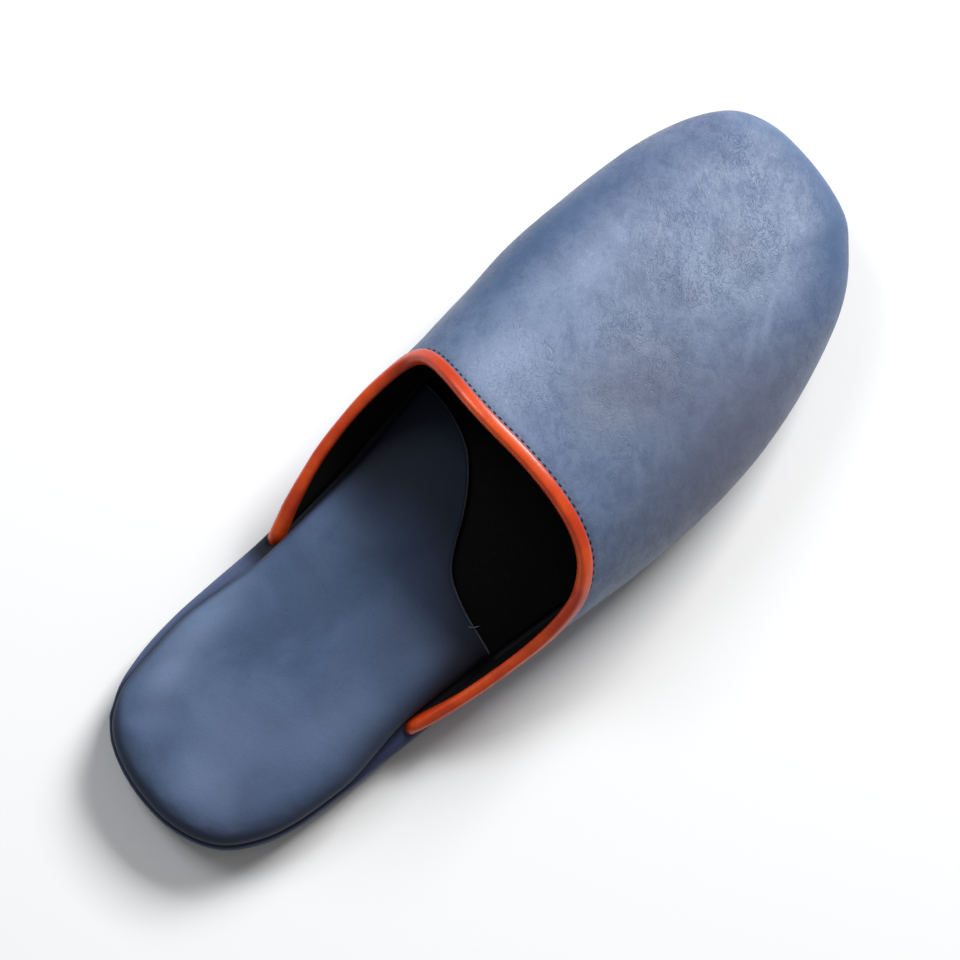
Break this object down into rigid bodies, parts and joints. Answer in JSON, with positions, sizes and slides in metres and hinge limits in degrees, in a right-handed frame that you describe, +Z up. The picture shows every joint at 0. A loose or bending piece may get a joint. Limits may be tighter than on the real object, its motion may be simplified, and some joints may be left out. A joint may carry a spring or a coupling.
{
  "type": "babouche slipper",
  "caption": "Right-foot open-back leather house slipper with a closed round toe, piped collar, padded heel sock and flat wrapped sole.",
  "frame": {"origin": "middle of the overall box, on the floor the slipper stands on", "axes": "+Y from heel to toe, +Z up, +X toward the lateral (outer) side of this right shoe"},
  "size_m": [0.0962, 0.27, 0.057],
  "materials": {
    "outsole": "matt suede",
    "sole_wrap": "satin leather wrapped round the sole's side",
    "lining": "matt black lining cloth",
    "sock": "soft padded satin leather",
    "upper": "soft fine-grained satin leather with worn highlights",
    "binding": "semi-gloss folded leather strip"
  },
  "bodies": {
    "root": {"outsole": "outsole", "midsole": "sole_wrap", "footbed": "lining", "heel_pad": "sock", "upper": "upper", "binding": "binding"}
  },
  "joints": []
}
